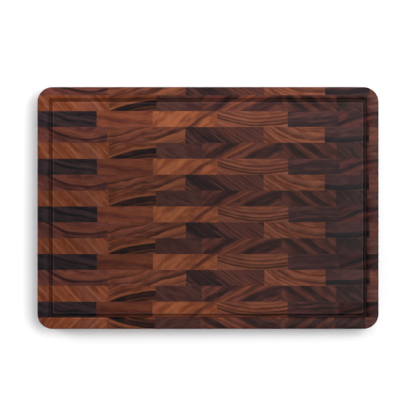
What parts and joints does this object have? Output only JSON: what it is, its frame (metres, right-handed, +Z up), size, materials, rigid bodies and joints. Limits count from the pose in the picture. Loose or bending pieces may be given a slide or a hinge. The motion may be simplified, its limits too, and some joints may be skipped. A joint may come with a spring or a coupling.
{
  "type": "cutting board",
  "caption": "End-grain hardwood cutting board, glued up from blocks in rows, with rounded corners and a juice groove near its rim.",
  "frame": {"origin": "centre of the underside", "axes": "+X along the board's length, +Y to the back, +Z up through the cutting surface"},
  "size_m": [0.43, 0.305, 0.038],
  "materials": {
    "dark_walnut": "oiled, satin",
    "mid_walnut": "oiled, satin",
    "light_walnut": "oiled, satin"
  },
  "bodies": {
    "root": {"row_01_dark_blocks": "dark_walnut", "row_01_light_blocks": "light_walnut", "row_01_mid_blocks": "mid_walnut", "row_02_dark_blocks": "dark_walnut", "row_02_light_blocks": "light_walnut", "row_02_mid_blocks": "mid_walnut", "row_03_dark_blocks": "dark_walnut", "row_03_light_blocks": "light_walnut", "row_03_mid_blocks": "mid_walnut", "row_04_dark_blocks": "dark_walnut", "row_04_light_blocks": "light_walnut", "row_04_mid_blocks": "mid_walnut", "row_05_dark_blocks": "dark_walnut", "row_05_light_blocks": "light_walnut", "row_05_mid_blocks": "mid_walnut", "row_06_dark_blocks": "dark_walnut", "row_06_light_blocks": "light_walnut", "row_06_mid_blocks": "mid_walnut", "row_07_dark_blocks": "dark_walnut", "row_07_light_blocks": "light_walnut", "row_07_mid_blocks": "mid_walnut", "row_08_dark_blocks": "dark_walnut", "row_08_light_blocks": "light_walnut", "row_08_mid_blocks": "mid_walnut", "row_09_dark_blocks": "dark_walnut", "row_09_light_blocks": "light_walnut", "row_09_mid_blocks": "mid_walnut", "row_10_dark_blocks": "dark_walnut", "row_10_light_blocks": "light_walnut", "row_10_mid_blocks": "mid_walnut", "row_11_dark_blocks": "dark_walnut", "row_11_light_blocks": "light_walnut", "row_11_mid_blocks": "mid_walnut", "row_12_dark_blocks": "dark_walnut", "row_12_light_blocks": "light_walnut", "row_12_mid_blocks": "mid_walnut", "row_13_dark_blocks": "dark_walnut", "row_13_light_blocks": "light_walnut", "row_13_mid_blocks": "mid_walnut", "row_14_dark_blocks": "dark_walnut", "row_14_light_blocks": "light_walnut", "row_14_mid_blocks": "mid_walnut", "row_15_dark_blocks": "dark_walnut", "row_15_light_blocks": "light_walnut", "row_15_mid_blocks": "mid_walnut", "row_16_dark_blocks": "dark_walnut", "row_16_light_blocks": "light_walnut", "row_16_mid_blocks": "mid_walnut"}
  },
  "joints": []
}
